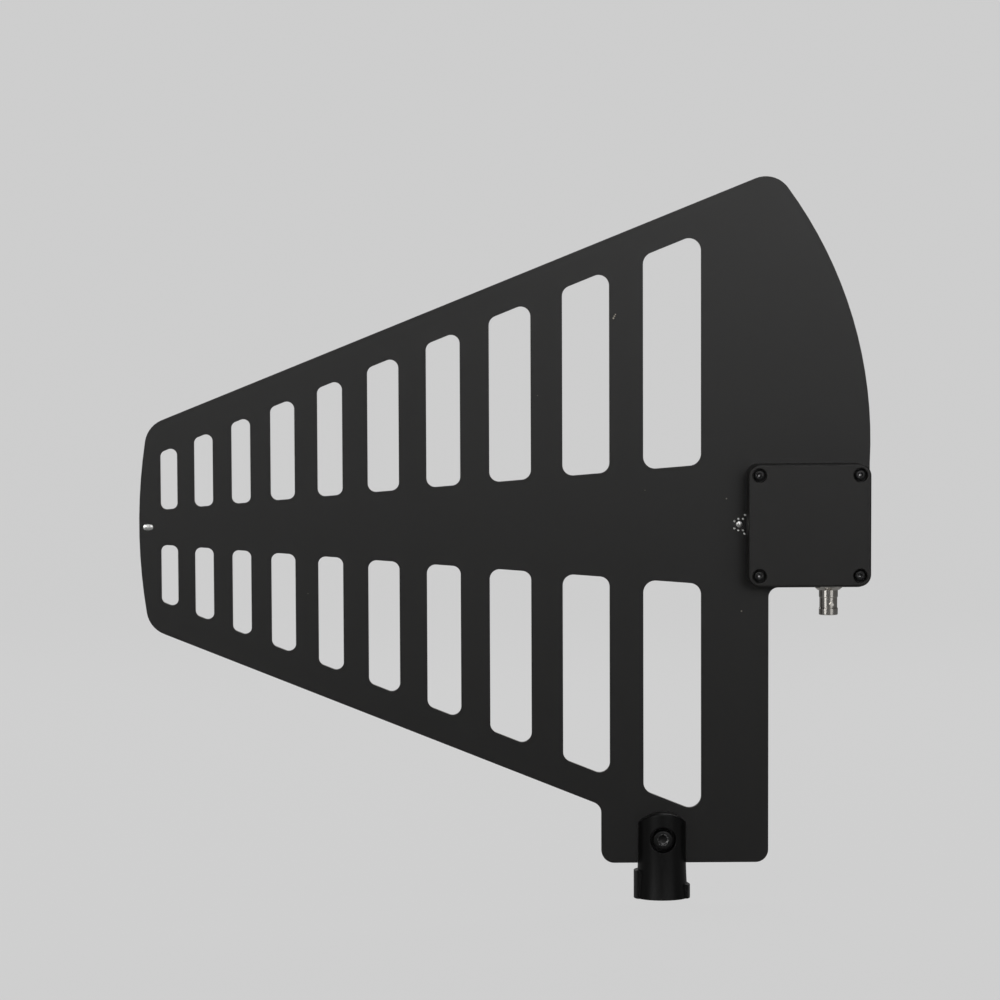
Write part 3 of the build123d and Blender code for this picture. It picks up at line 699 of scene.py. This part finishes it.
# %% [markdown]
# ## A pale studio
#
# The floor is a wide bowl of matt paper: flat under the antenna, and curved up all round it, so no
# view shows a corner behind the object. Black objects need dim, well aimed light. In the photo the
# mount shows two upright bands and the jack two white streaks, so a large soft lamp stands at
# either side of the camera. The board is paler towards its top and its nose, so two lamps with a
# grid, which keeps their light narrow, are aimed there. A lamp overhead lights the mount's arched
# top, and one behind keeps the back from going black. Paper lit that dimly would look grey, so
# part of what a camera or a mirror sees of it is its own pale colour.

# %% Paper floor
# How far the paper lies below the part's lowest point, in mm
PAPER_GAP = 0.2


def paper_bowl(flat=2.6, curve=1.2, top=4.0, columns=96):
    """A flat disc, a quarter circle and a wall: a profile in radius and height turned about Z."""
    bend = np.linspace(0, math.pi / 2, 20)
    radius = np.concatenate([[0.05, 0.5], flat + curve * np.sin(bend), [flat + curve]])
    height = np.concatenate([[0.0, 0.0], curve * (1 - np.cos(bend)), [top]]) - PAPER_GAP * MM
    points = turned(list(zip(radius, height)), columns)
    row, column = np.meshgrid(np.arange(len(radius) - 1), np.arange(columns), indexing="ij")
    after = (column + 1) % columns
    quads = np.stack([row * columns + column, (row + 1) * columns + column,
                      (row + 1) * columns + after, row * columns + after], axis=-1).reshape(-1, 4)
    mesh = bpy.data.meshes.new("paper_bowl")
    mesh.from_pydata(points.reshape(-1, 3).tolist(), [], quads.tolist() + [list(range(columns))])
    mesh.shade_smooth()
    return mesh


def studio_paper(to_camera=0.9, to_gloss=0.095):
    """Matt pale paper: part of what is seen of it is its own colour, and it is clear from below."""
    paper = Finish("studio_paper", {"Base Color": grey(0.4), "Roughness": 0.9, "Specular IOR Level": 0.1})
    camera_ray, gloss_ray, through_ray = [paper.node("LightPath", {}, {}, f"Is {kind} Ray")
                                          for kind in ("Camera", "Glossy", "Transmission")]
    share = camera_ray * to_camera + gloss_ray * to_gloss + through_ray * to_gloss
    pale = paper.node("Emission", {}, {"Color": grey(0.68), "Strength": 1.0})
    lit = paper.node("MixShader", {}, {0: share, 1: Wire(paper, paper.shader.outputs[0]), 2: pale})
    behind = paper.node("NewGeometry", {}, {}, "Backfacing")
    clear = paper.node("BsdfTransparent", {}, {})
    either = paper.node("MixShader", {}, {0: behind, 1: lit, 2: clear})
    paper.tree.links.new(either.socket, paper.tree.nodes["Material Output"].inputs["Surface"])
    return paper.material


floor = bpy.data.objects.new("paper_bowl", paper_bowl())
floor.data.materials.append(studio_paper())
bpy.context.scene.collection.objects.link(floor)
print("paper bowl ready")

# %% Lamps and sky
def softbox(name, place, width, height, power, aim=(-0.05, 0.0, 0.2), spread=180.0):
    """A rectangular lamp that faces its aim. A grid on it narrows its light to a spread in degrees."""
    lamp = bpy.data.lights.new(name, "AREA")
    lamp.shape = "RECTANGLE"
    lamp.size, lamp.size_y, lamp.energy = width, height, power
    lamp.spread = math.radians(spread)
    stand = bpy.data.objects.new(name, lamp)
    stand.location = place
    stand.rotation_euler = (Vector(aim) - Vector(place)).to_track_quat("-Z", "Y").to_euler()
    stand.visible_camera = False
    bpy.context.scene.collection.objects.link(stand)


softbox("left_lamp", (-1.3, -1.45, 0.6), 0.9, 1.2, 5.0, (0.0, 0.0, 0.6))
softbox("right_lamp", (1.2, -1.6, 0.6), 1.1, 1.2, 3.3, (0.0, 0.0, 0.6))
softbox("front_grid", (0.45, -2.15, 0.8), 0.7, 0.8, 1.12, (0.0, 0.0, 0.8), 60.0)
softbox("nose_grid", (-0.8, -1.95, 0.8), 0.4, 0.8, 0.26, (-0.28, 0.0, 0.38), 32.0)
softbox("top_lamp", (0.1, -0.1, 1.5), 1.2, 0.5, 2.2)
softbox("back_lamp", (0.0, 1.3, 1.0), 1.2, 0.4, 6.0)

sky = bpy.data.worlds.new("studio_sky")
sky.use_nodes = True
sky.node_tree.nodes["Background"].inputs["Color"].default_value = grey(0.035)
sky.node_tree.nodes["Background"].inputs["Strength"].default_value = 1.0
bpy.context.scene.world = sky
bpy.context.scene.view_settings.view_transform = "Standard"
print("studio lit")
